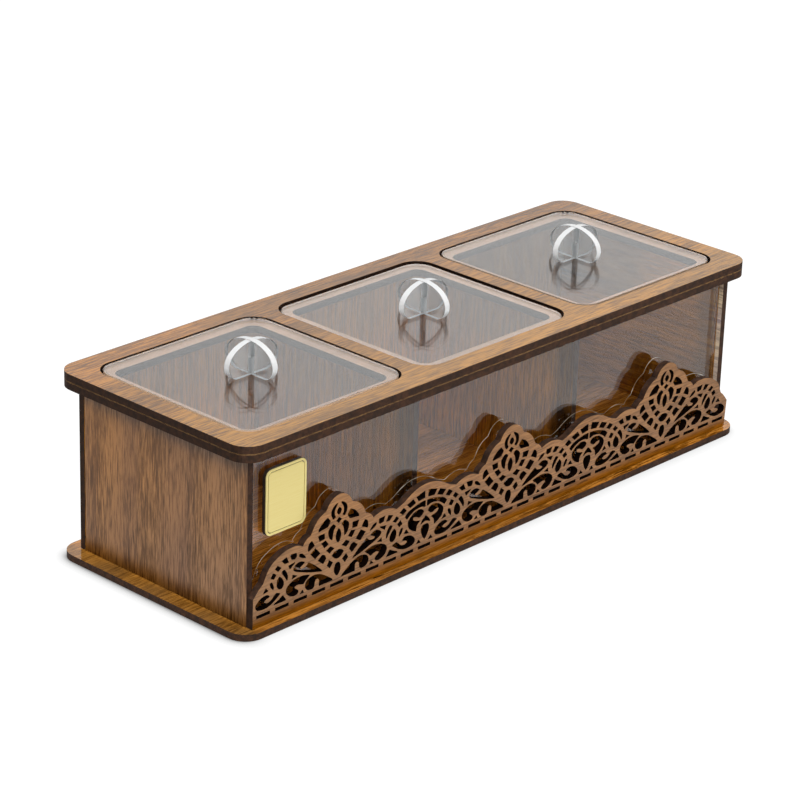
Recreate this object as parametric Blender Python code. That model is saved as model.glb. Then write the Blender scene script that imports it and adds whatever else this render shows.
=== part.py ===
"""Dried fruit box: a laser-cut walnut box with three compartments.

Three clear lids lie loose in the recesses of the double top board, each with a knob of two
crossed plates. A clear front window shows the compartments, and a cut lace panel stands
before it. Units are metres, +Z is up, the front faces -Y, and the origin is the centre of
the underside.
"""
import math

import bmesh
import bpy

# Sheet materials
joint_gap = 0.0003
base_thickness = 0.0029
wall_thickness = 0.00285
top_board_thickness = 0.00315
acrylic_thickness = 0.0024
lace_thickness = 0.0030

# Top frame, lids and the box that follows from them
compartments = 3
lid_opening = 0.0882
lid_web = 0.0081
frame_border = 0.0096
lid_clearance = 0.0011
ledge_width = 0.0056
lid_opening_radius = 0.0095
ledge_hole_radius = 0.0045
board_corner_radius = 0.0087

# Body under the frame
wall_height = 0.0701
side_overhang = 0.00675
front_overhang = 0.00635
window_recess = 0.0023

# Knob plates
knob_thickness = 0.0027
knob_height = 0.0140
knob_half_width = 0.0132
knob_widest_height = 0.0056
knob_foot_half_width = 0.0084

# Lace panel and plaque
lace_height = 0.0418
plaque_width = 0.0215
plaque_height = 0.0275
plaque_thickness = 0.0019
plaque_radius = 0.0030
plaque_side_margin = 0.0068
plaque_head_gap = 0.0086

# How finely curves are cut
corner_steps = 8
knob_steps = 10
lace_steps = 1

# Where each lid and its knob lie in the loose fit, as shares of the lid's clearance
LID_SHIFT_SHARES = ((0.7, 0.7), (-0.7, -0.7), (0.7, 0.7))
KNOB_SHIFT_SHARES = ((-0.6, -0.7), (0.9, -0.1), (-0.5, -0.4))
KNOB_LAP_SHARE = 0.5

# The lace is drawn on a grid of 50 columns for each half repeat and 42 rows for its height.
# A point is (column, row), and a third entry marks a sharp corner.
LACE_HALF_REPEAT_COLUMNS = 50
LACE_END_COLUMNS = 45.6
LACE_ROWS = 42
C = "corner"

# Half outlines on the axis of a medallion, from the bottom up; the other half mirrors them.
MEDALLION_AXIS_SHARES = (
    ((0, 8.1), (1.3, 9.5), (1.6, 11.2), (1.0, 12.8), (0, 13.2)),
    ((0, 15.3), (1.6, 15.8), (3.05, 17.2, C), (1.7, 18.2), (0, 18.5)),
    ((0, 22.0), (1.0, 23.3), (1.27, 25.0), (0.8, 26.5), (0, 27.5, C)),
    ((0, 30.1, C), (1.4, 31.2, C), (0, 32.2, C)),
    ((0, 33.65), (1.1, 34.95), (0, 36.25)),
)

# Openings beside that axis, on the grid of one side; the other side mirrors them.
MEDALLION_SIDE_SHARES = (
    ((1.0, 38.4, C), (2.55, 37.7), (3.8, 36.5), (4.2, 35.0), (3.8, 33.5), (3.1, 32.4, C),
     (2.0, 32.9, C), (2.65, 33.9), (2.75, 35.3), (2.3, 36.6)),
    ((6.3, 33.7, C), (4.8, 32.0, C), (6.1, 30.2, C), (11.2, 29.6, C), (10.05, 31.2), (8.4, 32.7)),
    ((3.25, 29.95), (1.8, 29.0, C), (2.75, 27.8), (3.25, 26.0), (3.45, 23.9, C), (4.7, 25.0),
     (5.4, 26.8), (5.3, 28.4)),
    ((7.8, 27.7, C), (11.2, 27.6, C), (10.25, 25.4, C), (7.7, 25.7, C)),
    ((9.25, 24.2, C), (7.1, 24.5, C), (5.5, 22.7, C), (7.5, 21.85, C)),
    ((14.7, 26.75, C), (15.9, 25.9), (16.4, 24.6), (16.35, 23.1, C), (13.1, 24.5, C)),
    ((12.55, 23.05, C), (15.1, 21.6, C), (12.45, 18.9, C), (9.95, 20.25, C)),
    ((4.3, 21.2, C), (6.3, 20.25, C), (4.6, 18.75, C), (2.2, 20.0, C)),
    ((8.75, 19.0, C), (10.9, 17.55, C), (7.9, 15.4, C), (6.6, 17.15, C), (7.3, 18.4)),
    ((4.7, 15.55, C), (5.7, 13.8, C), (4.2, 12.4, C), (2.75, 14.15, C)),
    ((18.35, 19.2, C), (20.3, 20.0), (22.35, 19.8), (24.0, 18.6), (23.5, 17.4), (20.3, 16.0),
     (14.3, 14.0), (8.4, 12.5, C), (12.2, 15.6), (16.1, 18.3, C), (17.6, 17.0), (20.1, 16.8),
     (20.9, 17.8), (19.7, 18.5)),
    ((21.2, 23.4, C), (19.7, 23.0), (18.6, 22.0), (17.8, 21.1, C), (19.5, 21.7), (21.0, 22.6)),
    ((26.2, 24.7, C), (22.9, 24.4, C), (22.9, 23.0), (23.7, 22.4, C), (25.3, 22.8, C)),
    ((28.2, 24.3, C), (30.6, 23.6, C), (28.9, 22.1, C), (27.0, 22.05, C)),
    ((32.9, 22.3, C), (34.1, 21.35, C), (32.5, 20.1, C), (30.9, 20.8, C)),
    ((33.6, 18.9, C), (35.2, 19.9, C), (36.3, 18.2, C), (34.7, 17.5, C)),
    ((35.8, 16.2, C), (36.7, 16.2, C), (36.2, 14.7), (34.9, 13.3, C), (35.0, 14.7)),
    ((31.75, 17.4, C), (32.8, 16.0), (32.8, 13.9), (31.6, 12.5), (30.2, 12.6), (29.5, 14.0), (30.2, 15.9)),
    ((29.3, 19.4), (30.6, 18.9, C), (29.0, 17.0), (27.5, 14.8, C), (27.4, 16.2), (28.1, 18.0)),
    ((23.4, 20.8, C), (27.0, 20.4, C), (26.1, 19.0, C), (25.2, 19.8)),
    ((24.6, 15.85, C), (24.9, 14.4, C), (22.2, 14.95, C)),
    ((38.8, 14.9, C), (40.4, 13.15, C), (37.6, 13.6, C)),
    ((15.4, 12.95, C), (17.5, 11.6), (18.6, 10.4, C), (21.6, 11.2), (23.5, 10.7), (23.3, 9.8),
     (21.5, 8.4), (21.9, 7.4), (23.9, 7.1), (26.2, 8.0), (27.6, 9.6), (27.6, 11.2), (26.0, 12.6),
     (23.0, 13.6), (19.2, 13.75)),
    ((2.2, 6.8, C), (9.9, 6.8, C), (9.75, 9.1), (10.5, 10.1), (11.8, 10.1), (12.5, 9.1),
     (12.8, 7.3), (14.2, 6.8), (16.2, 7.2), (17.4, 8.8), (16.7, 10.7), (14.2, 11.8), (11.6, 11.8),
     (9.0, 11.0), (6.0, 9.3)),
    ((19.0, 7.85, C), (18.2, 6.7, C), (20.4, 6.7, C)),
    ((29.7, 9.05, C), (27.8, 6.8, C), (34.5, 6.8, C), (31.5, 8.0)),
    ((31.2, 10.35, C), (33.2, 10.95), (34.5, 10.2), (36.1, 8.9), (38.2, 8.5), (39.9, 9.4),
     (39.0, 10.4), (36.9, 11.0, C), (38.4, 11.85), (41.2, 11.5), (43.4, 10.1), (44.1, 8.7),
     (43.2, 7.5), (41.0, 7.0), (38.2, 7.0), (35.3, 7.9), (33.1, 9.2)),
)

# Half outlines on the axis of a scallop, and the openings beside it.
SCALLOP_AXIS_SHARES = (
    ((0, 7.6, C), (1.3, 9.4), (2.2, 11.9), (1.5, 13.5), (0, 13.7)),
    ((0, 15.5), (1.3, 15.2), (2.75, 14.6, C), (1.5, 16.2), (0, 17.4, C)),
)
SCALLOP_SIDE_SHARES = (
    ((3.5, 8.1, C), (4.8, 6.8, C), (2.2, 6.7, C)),
    ((1.5, 19.4), (2.1, 20.5), (3.5, 21.1), (5.6, 21.0), (7.8, 20.1), (9.7, 18.5), (10.15, 17.0),
     (9.4, 15.1), (7.6, 13.6), (5.4, 12.6, C), (5.1, 14.8), (3.5, 16.3, C), (5.6, 16.7),
     (7.4, 17.6), (7.4, 19.0), (5.4, 18.8), (3.6, 18.1)),
    ((0.6, 24.2, C), (0.6, 21.7, C), (3.0, 22.4), (6.6, 22.0), (9.1, 20.8), (10.9, 19.4, C),
     (12.1, 20.7, C), (10.2, 22.1), (7.1, 23.1), (3.6, 23.9)),
    ((1.1, 28.4, C), (1.0, 25.7, C), (4.5, 25.3, C), (6.0, 27.2, C)),
    ((7.8, 26.7, C), (6.35, 24.9, C), (9.4, 23.9, C), (11.3, 25.4, C)),
    ((13.2, 24.7, C), (11.5, 23.1, C), (13.6, 22.2, C), (15.3, 23.4, C)),
)

# The top edge from a medallion's axis outwards: its three lobes, then the middle or the end.
MEDALLION_EDGE_SHARES = (
    (0, 42.0), (2.9, 41.3), (5.4, 39.6), (7.2, 36.9, C), (10.4, 35.5), (12.9, 33.3),
    (14.4, 30.9), (15.25, 29.4, C), (17.2, 28.6), (18.7, 27.3), (19.4, 26.2, C),
)
MIDDLE_EDGE_SHARES = (
    (22.4, 27.2), (25.8, 27.6), (29.4, 27.0), (32.7, 25.7, C), (36.6, 27.0), (40.6, 29.2),
    (45.0, 30.9), (50, 31.5),
)
END_EDGE_SHARES = (
    (22.4, 27.4), (25.6, 27.6), (28.8, 27.2), (32.0, 26.1), (35.0, 24.6), (37.4, 22.6),
    (38.9, 20.3), (40.4, 17.3, C), (42.8, 15.4), (45.6, 12.3, C), (45.6, 0, C),
)
SLOT_COUNT = 29
SLOT_PITCH_SHARE = 0.1
SLOT_WIDTH_SHARE = 0.073
SLOT_HEIGHT_SHARES = (0.09, 0.123)

# Sizes that follow from the ones above
box_length = compartments * lid_opening + (compartments - 1) * lid_web + 2 * frame_border
box_depth = lid_opening + 2 * frame_border
lid_pitch = lid_opening + lid_web
body_length = box_length - 2 * side_overhang
body_front = -(box_depth / 2 - front_overhang)
body_back = box_depth / 2 - front_overhang
wall_bottom = base_thickness + joint_gap
wall_top = wall_bottom + wall_height
lower_frame_bottom = wall_top + joint_gap
upper_frame_bottom = lower_frame_bottom + top_board_thickness + joint_gap
ledge_top = lower_frame_bottom + top_board_thickness
side_inner = body_length / 2 - wall_thickness
back_panel_front = body_back - wall_thickness
window_front = body_front + window_recess
window_back = window_front + acrylic_thickness
lid_size = lid_opening - 2 * lid_clearance
lid_radius = lid_opening_radius - lid_clearance
lid_bottom = ledge_top + joint_gap
lace_column = body_length / (2 * (2 * LACE_HALF_REPEAT_COLUMNS + LACE_END_COLUMNS))
lace_row = lace_height / LACE_ROWS
lace_half_repeat = LACE_HALF_REPEAT_COLUMNS * lace_column

# Turns that stand a plate up: its outline then faces the front, or the right-hand side
FLAT = (0, 0, 0)
FACING_FRONT = (math.pi / 2, 0, 0)
FACING_SIDE = (math.pi / 2, 0, math.pi / 2)


def clear_scene():
    for obj in list(bpy.data.objects):
        bpy.data.objects.remove(obj)


def make_material(name, colour, roughness, metallic=0.0, alpha=1.0):
    material = bpy.data.materials.new(name)
    material.use_nodes = True
    shader = material.node_tree.nodes["Principled BSDF"]
    shader.inputs["Base Color"].default_value = (*colour, 1.0)
    shader.inputs["Roughness"].default_value = roughness
    shader.inputs["Metallic"].default_value = metallic
    shader.inputs["Alpha"].default_value = alpha
    return material


def rectangle(left, right, low, high):
    return [(left, low), (right, low), (right, high), (left, high)]


def rounded_rectangle(width, height, radius, centre=(0, 0)):
    """A closed outline with an arc at each corner."""
    points = []
    for quarter, (side, level) in enumerate(((1, 1), (-1, 1), (-1, -1), (1, -1))):
        corner_x = centre[0] + side * (width / 2 - radius)
        corner_y = centre[1] + level * (height / 2 - radius)
        for step in range(corner_steps + 1):
            angle = (quarter + step / corner_steps) * math.pi / 2
            points.append((corner_x + radius * math.cos(angle), corner_y + radius * math.sin(angle)))
    return points


def curve_through(points, steps):
    """Close a smooth curve through the points, with a sharp turn at each marked corner."""
    count = len(points)
    places = [(point[0], point[1]) for point in points]
    sharp = [len(point) > 2 for point in points]
    outline = []
    for index in range(count):
        before, start, end, after = (places[(index + k) % count] for k in (-1, 0, 1, 2))
        start_sharp = sharp[index]
        end_sharp = sharp[(index + 1) % count]
        pieces = 1 if start_sharp and end_sharp else steps
        for piece in range(pieces):
            t = piece / pieces
            point = []
            for axis in (0, 1):
                chord = end[axis] - start[axis]
                leave = chord if start_sharp else (end[axis] - before[axis]) / 2
                arrive = chord if end_sharp else (after[axis] - start[axis]) / 2
                point.append(start[axis] + t * leave + t * t * (3 * chord - 2 * leave - arrive)
                             + t * t * t * (leave + arrive - 2 * chord))
            outline.append(tuple(point))
    return outline


def add_plate(name, outlines, thickness, material, place, turn=FLAT, parent=None):
    """Cut a plate from sheet: the first outline is its edge and the others are openings."""
    curve = bpy.data.curves.new(name, "CURVE")
    curve.dimensions = "2D"
    curve.fill_mode = "BOTH"
    curve.extrude = thickness / 2
    for outline in outlines:
        spline = curve.splines.new("POLY")
        spline.points.add(len(outline) - 1)
        for point, (x, y) in zip(spline.points, outline):
            point.co = (x, y, 0, 1)
        spline.use_cyclic_u = True
    flat = bpy.data.objects.new(name + "_curve", curve)
    mesh = bpy.data.meshes.new_from_object(flat)
    bpy.data.objects.remove(flat)
    mesh.name = name
    solid = bmesh.new()
    solid.from_mesh(mesh)
    bmesh.ops.remove_doubles(solid, verts=solid.verts, dist=joint_gap / 100)
    bmesh.ops.translate(solid, verts=solid.verts, vec=(0, 0, thickness / 2))
    bmesh.ops.recalc_face_normals(solid, faces=solid.faces)
    solid.to_mesh(mesh)
    solid.free()
    mesh.materials.clear()
    mesh.materials.append(material)
    obj = bpy.data.objects.new(name, mesh)
    obj.location = place
    obj.rotation_euler = turn
    obj.parent = parent
    bpy.context.collection.objects.link(obj)
    return obj


def lid_centres():
    """The centre of each opening in the top frame, from left to right."""
    first = -(compartments - 1) / 2 * lid_pitch
    return [first + index * lid_pitch for index in range(compartments)]


def add_base(wood):
    outline = rounded_rectangle(box_length, box_depth, board_corner_radius)
    add_plate("base_plate", [outline], base_thickness, wood, (0, 0, 0))


def add_walls(wood):
    side = rectangle(body_front, back_panel_front - joint_gap, 0, wall_height)
    add_plate("left_side_panel", [side], wall_thickness, wood, (-body_length / 2, 0, wall_bottom), FACING_SIDE)
    add_plate("right_side_panel", [side], wall_thickness, wood, (side_inner, 0, wall_bottom), FACING_SIDE)
    back = rectangle(-body_length / 2, body_length / 2, 0, wall_height)
    add_plate("back_panel", [back], wall_thickness, wood, (0, body_back, wall_bottom), FACING_FRONT)


def add_dividers(wood):
    outline = rectangle(window_back + joint_gap, back_panel_front - joint_gap, 0, wall_height)
    for name, left, right in zip(("divider_left", "divider_right"), lid_centres(), lid_centres()[1:]):
        middle = (left + right) / 2
        add_plate(name, [outline], wall_thickness, wood, (middle - wall_thickness / 2, 0, wall_bottom), FACING_SIDE)


def add_window(acrylic):
    edge = side_inner - joint_gap
    outline = rectangle(-edge, edge, 0, wall_height)
    add_plate("front_window", [outline], acrylic_thickness, acrylic, (0, window_back, wall_bottom), FACING_FRONT)


def add_top_frames(wood):
    board = rounded_rectangle(box_length, box_depth, board_corner_radius)
    hole_size = lid_opening - 2 * ledge_width
    holes = [rounded_rectangle(hole_size, hole_size, ledge_hole_radius, (x, 0)) for x in lid_centres()]
    add_plate("top_frame_lower", [board, *holes], top_board_thickness, wood, (0, 0, lower_frame_bottom))
    openings = [rounded_rectangle(lid_opening, lid_opening, lid_opening_radius, (x, 0)) for x in lid_centres()]
    add_plate("top_frame_upper", [board, *openings], top_board_thickness, wood, (0, 0, upper_frame_bottom))


def knob_outline(slot_from_top):
    """A plate with a narrow foot and a domed head, slotted half way to lap its twin."""
    slot = knob_thickness / 2 + joint_gap
    lap = knob_height * KNOB_LAP_SHARE
    slot_end = lap - joint_gap / 2 if slot_from_top else lap + joint_gap / 2
    right = []
    if not slot_from_top:
        right += [(slot, slot_end), (slot, 0)]
    for step in range(knob_steps + 1):
        angle = step / knob_steps * math.pi / 2
        right.append((knob_foot_half_width + (knob_half_width - knob_foot_half_width) * math.sin(angle),
                      knob_widest_height * (1 - math.cos(angle))))
    head = knob_height - knob_widest_height
    last = math.acos(slot / knob_half_width) if slot_from_top else math.pi / 2
    for step in range(1, knob_steps + 1):
        angle = step / knob_steps * last
        right.append((knob_half_width * math.cos(angle), knob_widest_height + head * math.sin(angle)))
    if slot_from_top:
        right.append((slot, slot_end))
        left = [(-x, y) for x, y in reversed(right)]
    else:
        left = [(-x, y) for x, y in reversed(right[:-1])]
    return right + left


def add_lids(acrylic):
    names = ("left", "middle", "right")
    lid = rounded_rectangle(lid_size, lid_size, lid_radius)
    for name, x, lid_shares, knob_shares in zip(names, lid_centres(), LID_SHIFT_SHARES, KNOB_SHIFT_SHARES):
        place = (x + lid_shares[0] * lid_clearance, lid_shares[1] * lid_clearance, lid_bottom)
        plate = add_plate("lid_" + name, [lid], acrylic_thickness, acrylic, place)
        knob_x = knob_shares[0] * lid_clearance
        knob_y = knob_shares[1] * lid_clearance
        knob_z = acrylic_thickness + joint_gap
        add_plate("knob_plate_long_" + name, [knob_outline(True)], knob_thickness, acrylic,
                  (knob_x, knob_y + knob_thickness / 2, knob_z), FACING_FRONT, plate)
        add_plate("knob_plate_cross_" + name, [knob_outline(False)], knob_thickness, acrylic,
                  (knob_x - knob_thickness / 2, knob_y, knob_z), FACING_SIDE, plate)


def on_lace(axis_x, side, points):
    """Turn grid points beside an axis into metres on the panel, keeping corner marks."""
    return [(axis_x + side * point[0] * lace_column, point[1] * lace_row, *point[2:]) for point in points]


def axis_opening(axis_x, half):
    """Mirror a half outline about its axis."""
    right = on_lace(axis_x, 1, half)
    left = on_lace(axis_x, -1, half[-2:0:-1])
    return curve_through(right + left, lace_steps)


def lace_openings():
    medallions = [k * 2 * lace_half_repeat for k in (-1, 0, 1)]
    scallops = [k * lace_half_repeat for k in (-1, 1)]
    openings = []
    for axes, on_axis, beside in ((medallions, MEDALLION_AXIS_SHARES, MEDALLION_SIDE_SHARES),
                                  (scallops, SCALLOP_AXIS_SHARES, SCALLOP_SIDE_SHARES)):
        for axis_x in axes:
            openings += [axis_opening(axis_x, half) for half in on_axis]
            for side in (-1, 1):
                openings += [curve_through(on_lace(axis_x, side, points), lace_steps) for points in beside]
    for index in range(SLOT_COUNT):
        middle = (index - (SLOT_COUNT - 1) / 2) * SLOT_PITCH_SHARE * 2 * lace_half_repeat
        half_slot = SLOT_WIDTH_SHARE * lace_half_repeat
        low, high = (share * lace_height for share in SLOT_HEIGHT_SHARES)
        openings.append(rectangle(middle - half_slot, middle + half_slot, low, high))
    return openings


def lace_edge():
    """The panel's outline: right half from the middle medallion to the end, then mirrored."""
    outer = 2 * lace_half_repeat
    half_repeat = MEDALLION_EDGE_SHARES + MIDDLE_EDGE_SHARES
    right = on_lace(0, 1, half_repeat)
    right += on_lace(outer, -1, half_repeat[-2::-1])
    right += on_lace(outer, 1, (MEDALLION_EDGE_SHARES + END_EDGE_SHARES)[1:])
    left = [(-point[0], *point[1:]) for point in right[:0:-1]]
    return curve_through(right + left, lace_steps)


def add_lace(wood):
    add_plate("lace_panel", [lace_edge(), *lace_openings()], lace_thickness, wood,
              (0, body_front - joint_gap, wall_bottom), FACING_FRONT)


def add_plaque(gold):
    outline = rounded_rectangle(plaque_width, plaque_height, plaque_radius)
    place_x = -side_inner + plaque_side_margin + plaque_width / 2
    place_z = wall_top - plaque_head_gap - plaque_height / 2
    add_plate("plaque", [outline], plaque_thickness, gold, (place_x, window_front - joint_gap, place_z), FACING_FRONT)


def main():
    clear_scene()
    walnut = make_material("walnut_laminate", (0.33, 0.17, 0.08), 0.35)
    acrylic = make_material("clear_acrylic", (0.85, 0.87, 0.88), 0.03, alpha=0.35)
    gold = make_material("gold_acrylic", (0.85, 0.72, 0.35), 0.25, metallic=0.6)
    add_base(walnut)
    add_walls(walnut)
    add_dividers(walnut)
    add_window(acrylic)
    add_top_frames(walnut)
    add_lids(acrylic)
    add_lace(walnut)
    add_plaque(gold)


main()
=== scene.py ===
"""The looks of the dried fruit box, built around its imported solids."""
import math

import bmesh
import bpy
from mathutils import Matrix, Vector, kdtree


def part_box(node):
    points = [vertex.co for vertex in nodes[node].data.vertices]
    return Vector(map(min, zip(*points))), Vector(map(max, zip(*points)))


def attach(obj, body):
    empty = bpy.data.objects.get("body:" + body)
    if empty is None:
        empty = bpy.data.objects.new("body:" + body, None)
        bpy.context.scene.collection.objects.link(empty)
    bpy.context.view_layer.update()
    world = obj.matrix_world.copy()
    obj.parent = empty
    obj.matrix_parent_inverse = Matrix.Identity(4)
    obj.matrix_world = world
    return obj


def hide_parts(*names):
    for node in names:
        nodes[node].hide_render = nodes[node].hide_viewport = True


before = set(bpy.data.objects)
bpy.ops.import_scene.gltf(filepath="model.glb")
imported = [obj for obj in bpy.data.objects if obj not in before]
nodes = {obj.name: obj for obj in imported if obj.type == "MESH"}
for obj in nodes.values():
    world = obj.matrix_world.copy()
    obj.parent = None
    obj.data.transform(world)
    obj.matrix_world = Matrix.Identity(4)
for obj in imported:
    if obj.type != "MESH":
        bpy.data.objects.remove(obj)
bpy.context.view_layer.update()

MM = 0.001

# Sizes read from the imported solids
base_low, base_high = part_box("base_plate")
upper_low, upper_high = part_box("top_frame_upper")
lower_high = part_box("top_frame_lower")[1]
lace_low, lace_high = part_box("lace_panel")
plaque_low, plaque_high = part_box("plaque")
window_low, window_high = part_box("front_window")
right_low, right_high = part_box("right_side_panel")
back_low, back_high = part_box("back_panel")

# Sizes of the fine forms
joint_gap = 0.3 * MM
top_radius = 8.7 * MM
top_opening_margin = 5 * MM
lid_radius = 8.4 * MM
lid_bevel = 0.15 * MM
LID_LIFT_SHARE = 0.95
seam_width = 2.0 * MM
seam_thickness = 0.28 * MM
film_half_width = 0.07 * MM
plaque_radius = 3.0 * MM
gold_thickness = 0.35 * MM
gold_inset = 0.15 * MM
groove_inset = 1.1 * MM
groove_width = 0.35 * MM
score_width = 0.16 * MM
score_thickness = 0.05 * MM
score_gap = 0.02 * MM
weld_reach = 0.001 * MM
RIM_ANGLE = math.radians(60)
BEVEL_SEGMENTS = 2
BEVEL_PROFILE = 0.5
CORNER_STEPS = 10

# The lace is drawn on a grid of 50 columns for each half repeat and 42 rows for its height.
# A point is (column, row), and a third entry marks a sharp corner.
LACE_HALF_REPEAT_COLUMNS = 50
LACE_END_COLUMNS = 45.6
LACE_ROWS = 42
C = "corner"

# Half outlines on the axis of a medallion, from the bottom up; the other half mirrors them.
MEDALLION_AXIS_SHARES = (
    ((0, 8.1), (1.3, 9.5), (1.6, 11.2), (1.0, 12.8), (0, 13.2)),
    ((0, 15.3), (1.6, 15.8), (3.05, 17.2, C), (1.7, 18.2), (0, 18.5)),
    ((0, 22.0), (1.0, 23.3), (1.27, 25.0), (0.8, 26.5), (0, 27.5, C)),
    ((0, 30.1, C), (1.4, 31.2, C), (0, 32.2, C)),
    ((0, 33.65), (1.1, 34.95), (0, 36.25)),
)

# Openings beside that axis, on the grid of one side; the other side mirrors them.
MEDALLION_SIDE_SHARES = (
    ((1.0, 38.4, C), (2.55, 37.7), (3.8, 36.5), (4.2, 35.0), (3.8, 33.5), (3.1, 32.4, C),
     (2.0, 32.9, C), (2.65, 33.9), (2.75, 35.3), (2.3, 36.6)),
    ((6.3, 33.7, C), (4.8, 32.0, C), (6.1, 30.2, C), (11.2, 29.6, C), (10.05, 31.2), (8.4, 32.7)),
    ((3.25, 29.95), (1.8, 29.0, C), (2.75, 27.8), (3.25, 26.0), (3.45, 23.9, C), (4.7, 25.0),
     (5.4, 26.8), (5.3, 28.4)),
    ((7.8, 27.7, C), (11.2, 27.6, C), (10.25, 25.4, C), (7.7, 25.7, C)),
    ((9.25, 24.2, C), (7.1, 24.5, C), (5.5, 22.7, C), (7.5, 21.85, C)),
    ((14.7, 26.75, C), (15.9, 25.9), (16.4, 24.6), (16.35, 23.1, C), (13.1, 24.5, C)),
    ((12.55, 23.05, C), (15.1, 21.6, C), (12.45, 18.9, C), (9.95, 20.25, C)),
    ((4.3, 21.2, C), (6.3, 20.25, C), (4.6, 18.75, C), (2.2, 20.0, C)),
    ((8.75, 19.0, C), (10.9, 17.55, C), (7.9, 15.4, C), (6.6, 17.15, C), (7.3, 18.4)),
    ((4.7, 15.55, C), (5.7, 13.8, C), (4.2, 12.4, C), (2.75, 14.15, C)),
    ((18.35, 19.2, C), (20.3, 20.0), (22.35, 19.8), (24.0, 18.6), (23.5, 17.4), (20.3, 16.0),
     (14.3, 14.0), (8.4, 12.5, C), (12.2, 15.6), (16.1, 18.3, C), (17.6, 17.0), (20.1, 16.8),
     (20.9, 17.8), (19.7, 18.5)),
    ((21.2, 23.4, C), (19.7, 23.0), (18.6, 22.0), (17.8, 21.1, C), (19.5, 21.7), (21.0, 22.6)),
    ((26.2, 24.7, C), (22.9, 24.4, C), (22.9, 23.0), (23.7, 22.4, C), (25.3, 22.8, C)),
    ((28.2, 24.3, C), (30.6, 23.6, C), (28.9, 22.1, C), (27.0, 22.05, C)),
    ((32.9, 22.3, C), (34.1, 21.35, C), (32.5, 20.1, C), (30.9, 20.8, C)),
    ((33.6, 18.9, C), (35.2, 19.9, C), (36.3, 18.2, C), (34.7, 17.5, C)),
    ((35.8, 16.2, C), (36.7, 16.2, C), (36.2, 14.7), (34.9, 13.3, C), (35.0, 14.7)),
    ((31.75, 17.4, C), (32.8, 16.0), (32.8, 13.9), (31.6, 12.5), (30.2, 12.6), (29.5, 14.0), (30.2, 15.9)),
    ((29.3, 19.4), (30.6, 18.9, C), (29.0, 17.0), (27.5, 14.8, C), (27.4, 16.2), (28.1, 18.0)),
    ((23.4, 20.8, C), (27.0, 20.4, C), (26.1, 19.0, C), (25.2, 19.8)),
    ((24.6, 15.85, C), (24.9, 14.4, C), (22.2, 14.95, C)),
    ((38.8, 14.9, C), (40.4, 13.15, C), (37.6, 13.6, C)),
    ((15.4, 12.95, C), (17.5, 11.6), (18.6, 10.4, C), (21.6, 11.2), (23.5, 10.7), (23.3, 9.8),
     (21.5, 8.4), (21.9, 7.4), (23.9, 7.1), (26.2, 8.0), (27.6, 9.6), (27.6, 11.2), (26.0, 12.6),
     (23.0, 13.6), (19.2, 13.75)),
    ((2.2, 6.8, C), (9.9, 6.8, C), (9.75, 9.1), (10.5, 10.1), (11.8, 10.1), (12.5, 9.1),
     (12.8, 7.3), (14.2, 6.8), (16.2, 7.2), (17.4, 8.8), (16.7, 10.7), (14.2, 11.8), (11.6, 11.8),
     (9.0, 11.0), (6.0, 9.3)),
    ((19.0, 7.85, C), (18.2, 6.7, C), (20.4, 6.7, C)),
    ((29.7, 9.05, C), (27.8, 6.8, C), (34.5, 6.8, C), (31.5, 8.0)),
    ((31.2, 10.35, C), (33.2, 10.95), (34.5, 10.2), (36.1, 8.9), (38.2, 8.5), (39.9, 9.4),
     (39.0, 10.4), (36.9, 11.0, C), (38.4, 11.85), (41.2, 11.5), (43.4, 10.1), (44.1, 8.7),
     (43.2, 7.5), (41.0, 7.0), (38.2, 7.0), (35.3, 7.9), (33.1, 9.2)),
)

# Half outlines on the axis of a scallop, and the openings beside it.
SCALLOP_AXIS_SHARES = (
    ((0, 7.6, C), (1.3, 9.4), (2.2, 11.9), (1.5, 13.5), (0, 13.7)),
    ((0, 15.5), (1.3, 15.2), (2.75, 14.6, C), (1.5, 16.2), (0, 17.4, C)),
)
SCALLOP_SIDE_SHARES = (
    ((3.5, 8.1, C), (4.8, 6.8, C), (2.2, 6.7, C)),
    ((1.5, 19.4), (2.1, 20.5), (3.5, 21.1), (5.6, 21.0), (7.8, 20.1), (9.7, 18.5), (10.15, 17.0),
     (9.4, 15.1), (7.6, 13.6), (5.4, 12.6, C), (5.1, 14.8), (3.5, 16.3, C), (5.6, 16.7),
     (7.4, 17.6), (7.4, 19.0), (5.4, 18.8), (3.6, 18.1)),
    ((0.6, 24.2, C), (0.6, 21.7, C), (3.0, 22.4), (6.6, 22.0), (9.1, 20.8), (10.9, 19.4, C),
     (12.1, 20.7, C), (10.2, 22.1), (7.1, 23.1), (3.6, 23.9)),
    ((1.1, 28.4, C), (1.0, 25.7, C), (4.5, 25.3, C), (6.0, 27.2, C)),
    ((7.8, 26.7, C), (6.35, 24.9, C), (9.4, 23.9, C), (11.3, 25.4, C)),
    ((13.2, 24.7, C), (11.5, 23.1, C), (13.6, 22.2, C), (15.3, 23.4, C)),
)

# The top edge from a medallion's axis outwards: its three lobes, then the middle or the end.
MEDALLION_EDGE_SHARES = (
    (0, 42.0), (2.9, 41.3), (5.4, 39.6), (7.2, 36.9, C), (10.4, 35.5), (12.9, 33.3),
    (14.4, 30.9), (15.25, 29.4, C), (17.2, 28.6), (18.7, 27.3), (19.4, 26.2, C),
)
MIDDLE_EDGE_SHARES = (
    (22.4, 27.2), (25.8, 27.6), (29.4, 27.0), (32.7, 25.7, C), (36.6, 27.0), (40.6, 29.2),
    (45.0, 30.9), (50, 31.5),
)
END_EDGE_SHARES = (
    (22.4, 27.4), (25.6, 27.6), (28.8, 27.2), (32.0, 26.1), (35.0, 24.6), (37.4, 22.6),
    (38.9, 20.3), (40.4, 17.3, C), (42.8, 15.4), (45.6, 12.3, C), (45.6, 0, C),
)
SLOT_COUNT = 29
SLOT_PITCH_SHARE = 0.1
SLOT_WIDTH_SHARE = 0.073
SLOT_HEIGHT_SHARES = (0.09, 0.123)

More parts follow.
